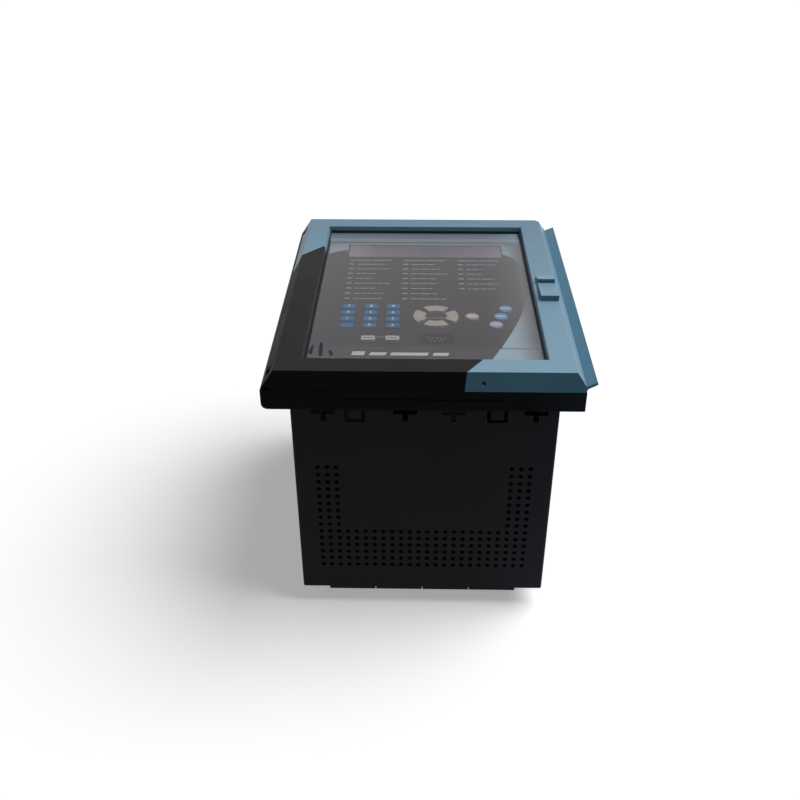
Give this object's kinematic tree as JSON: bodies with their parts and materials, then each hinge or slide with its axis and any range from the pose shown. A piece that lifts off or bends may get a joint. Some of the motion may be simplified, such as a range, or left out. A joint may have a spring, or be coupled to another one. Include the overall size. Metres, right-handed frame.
{
  "type": "protection relay",
  "caption": "Draw-out protection relay: vented black case, wide front collar, hinged teal door with a large window over a keypad, display and lamps, terminal blocks at the rear.",
  "frame": {"origin": "below the middle of the part's overall box, on the surface that its rear terminal blocks stand on", "axes": "+Z out of the relay's front, +X to the right of the front as it is read, +Y to the top of the front"},
  "size_m": [0.2356, 0.286, 0.2311],
  "materials": {
    "door_paint": "satin teal moulding, black at its lower left",
    "black_plastic": "satin black moulding",
    "black_enamel": "satin black enamel on folded steel sheet",
    "zinc_sheet": "zinc plated sheet",
    "gasket_rubber": "matt black rubber",
    "clear_pane": "clear polycarbonate, lightly reflective",
    "faceplate_film": "matt dark grey film",
    "display_lens": "dark lens",
    "circuit_board": "solder mask",
    "light_pipe": "frosted light pipe",
    "pin_steel": "ground steel",
    "terminal_brass": "brass",
    "transformer_core": "varnished core and winding",
    "relay_case": "cream moulded case",
    "key_blue": "satin blue key",
    "key_beige": "satin beige key",
    "key_violet": "satin pale violet key",
    "key_grey": "satin grey key"
  },
  "bodies": {
    "relay": {"case_body": "black_enamel", "case_socket": "black_plastic", "case_top": "black_enamel", "display_lens": "display_lens", "display_module": "circuit_board", "faceplate": "faceplate_film", "front_collar": "black_plastic", "ground_terminal": "terminal_brass", "guide_rail_left": "black_plastic", "guide_rail_right": "black_plastic", "handle_pin": "pin_steel", "hinge_pin_lower": "pin_steel", "hinge_pin_upper": "pin_steel", "input_transformers": "transformer_core", "keypad_board": "circuit_board", "light_pipe_left": "light_pipe", "light_pipe_middle": "light_pipe", "light_pipe_right": "light_pipe", "lock_handle": "faceplate_film", "main_board": "circuit_board", "output_relays": "relay_case", "panel_gasket": "gasket_rubber", "power_board": "circuit_board", "rear_panel": "black_enamel", "serial_port": "zinc_sheet", "terminal_block_a": "black_plastic", "terminal_block_b": "black_plastic", "terminal_block_c": "black_plastic", "terminal_block_d": "black_plastic", "terminal_block_upper_left": "black_plastic", "terminal_block_upper_right": "black_plastic", "unit_chassis": "zinc_sheet", "unit_plug": "black_plastic"},
    "door": {"door_frame": "door_paint", "window_pane": "clear_pane", "door_gasket": "gasket_rubber"},
    "latch": {"handle_latch": "black_plastic"},
    "key_7": {"key_7": "key_blue"},
    "key_8": {"key_8": "key_blue"},
    "key_9": {"key_9": "key_blue"},
    "key_4": {"key_4": "key_blue"},
    "key_5": {"key_5": "key_blue"},
    "key_6": {"key_6": "key_blue"},
    "key_1": {"key_1": "key_blue"},
    "key_2": {"key_2": "key_blue"},
    "key_3": {"key_3": "key_blue"},
    "key_point": {"key_point": "key_blue"},
    "key_0": {"key_0": "key_blue"},
    "key_sign": {"key_sign": "key_blue"},
    "key_right": {"key_right": "key_beige"},
    "key_up": {"key_up": "key_beige"},
    "key_left": {"key_left": "key_beige"},
    "key_down": {"key_down": "key_beige"},
    "key_help": {"key_help": "key_beige"},
    "key_escape": {"key_escape": "key_blue"},
    "key_enter": {"key_enter": "key_blue"},
    "key_reset": {"key_reset": "key_violet"},
    "key_previous": {"key_previous": "key_grey"},
    "key_next": {"key_next": "key_grey"}
  },
  "joints": [
    {"name": "door_hinge", "type": "hinge", "parent": "relay", "child": "door", "pos_m": [-0.10814, 0, 0.2184], "axis": [0, -1, 0], "range_deg": [0, 105]},
    {"name": "latch_slide", "type": "slide", "parent": "relay", "child": "latch", "axis": [0, 1, 0], "range_m": [0, 0.002], "stiffness_N_per_m": 600},
    {"name": "key_7_press", "type": "slide", "parent": "relay", "child": "key_7", "axis": [0, 0, -1], "range_m": [0, 0.001], "stiffness_N_per_m": 800},
    {"name": "key_8_press", "type": "slide", "parent": "relay", "child": "key_8", "axis": [0, 0, -1], "range_m": [0, 0.001], "stiffness_N_per_m": 800},
    {"name": "key_9_press", "type": "slide", "parent": "relay", "child": "key_9", "axis": [0, 0, -1], "range_m": [0, 0.001], "stiffness_N_per_m": 800},
    {"name": "key_4_press", "type": "slide", "parent": "relay", "child": "key_4", "axis": [0, 0, -1], "range_m": [0, 0.001], "stiffness_N_per_m": 800},
    {"name": "key_5_press", "type": "slide", "parent": "relay", "child": "key_5", "axis": [0, 0, -1], "range_m": [0, 0.001], "stiffness_N_per_m": 800},
    {"name": "key_6_press", "type": "slide", "parent": "relay", "child": "key_6", "axis": [0, 0, -1], "range_m": [0, 0.001], "stiffness_N_per_m": 800},
    {"name": "key_1_press", "type": "slide", "parent": "relay", "child": "key_1", "axis": [0, 0, -1], "range_m": [0, 0.001], "stiffness_N_per_m": 800},
    {"name": "key_2_press", "type": "slide", "parent": "relay", "child": "key_2", "axis": [0, 0, -1], "range_m": [0, 0.001], "stiffness_N_per_m": 800},
    {"name": "key_3_press", "type": "slide", "parent": "relay", "child": "key_3", "axis": [0, 0, -1], "range_m": [0, 0.001], "stiffness_N_per_m": 800},
    {"name": "key_point_press", "type": "slide", "parent": "relay", "child": "key_point", "axis": [0, 0, -1], "range_m": [0, 0.001], "stiffness_N_per_m": 800},
    {"name": "key_0_press", "type": "slide", "parent": "relay", "child": "key_0", "axis": [0, 0, -1], "range_m": [0, 0.001], "stiffness_N_per_m": 800},
    {"name": "key_sign_press", "type": "slide", "parent": "relay", "child": "key_sign", "axis": [0, 0, -1], "range_m": [0, 0.001], "stiffness_N_per_m": 800},
    {"name": "key_right_press", "type": "slide", "parent": "relay", "child": "key_right", "axis": [0, 0, -1], "range_m": [0, 0.001], "stiffness_N_per_m": 800},
    {"name": "key_up_press", "type": "slide", "parent": "relay", "child": "key_up", "axis": [0, 0, -1], "range_m": [0, 0.001], "stiffness_N_per_m": 800},
    {"name": "key_left_press", "type": "slide", "parent": "relay", "child": "key_left", "axis": [0, 0, -1], "range_m": [0, 0.001], "stiffness_N_per_m": 800},
    {"name": "key_down_press", "type": "slide", "parent": "relay", "child": "key_down", "axis": [0, 0, -1], "range_m": [0, 0.001], "stiffness_N_per_m": 800},
    {"name": "key_help_press", "type": "slide", "parent": "relay", "child": "key_help", "axis": [0, 0, -1], "range_m": [0, 0.001], "stiffness_N_per_m": 800},
    {"name": "key_escape_press", "type": "slide", "parent": "relay", "child": "key_escape", "axis": [0, 0, -1], "range_m": [0, 0.001], "stiffness_N_per_m": 800},
    {"name": "key_enter_press", "type": "slide", "parent": "relay", "child": "key_enter", "axis": [0, 0, -1], "range_m": [0, 0.001], "stiffness_N_per_m": 800},
    {"name": "key_reset_press", "type": "slide", "parent": "relay", "child": "key_reset", "axis": [0, 0, -1], "range_m": [0, 0.001], "stiffness_N_per_m": 800},
    {"name": "key_previous_press", "type": "slide", "parent": "relay", "child": "key_previous", "axis": [0, 0, -1], "range_m": [0, 0.001], "stiffness_N_per_m": 800},
    {"name": "key_next_press", "type": "slide", "parent": "relay", "child": "key_next", "axis": [0, 0, -1], "range_m": [0, 0.001], "stiffness_N_per_m": 800}
  ]
}
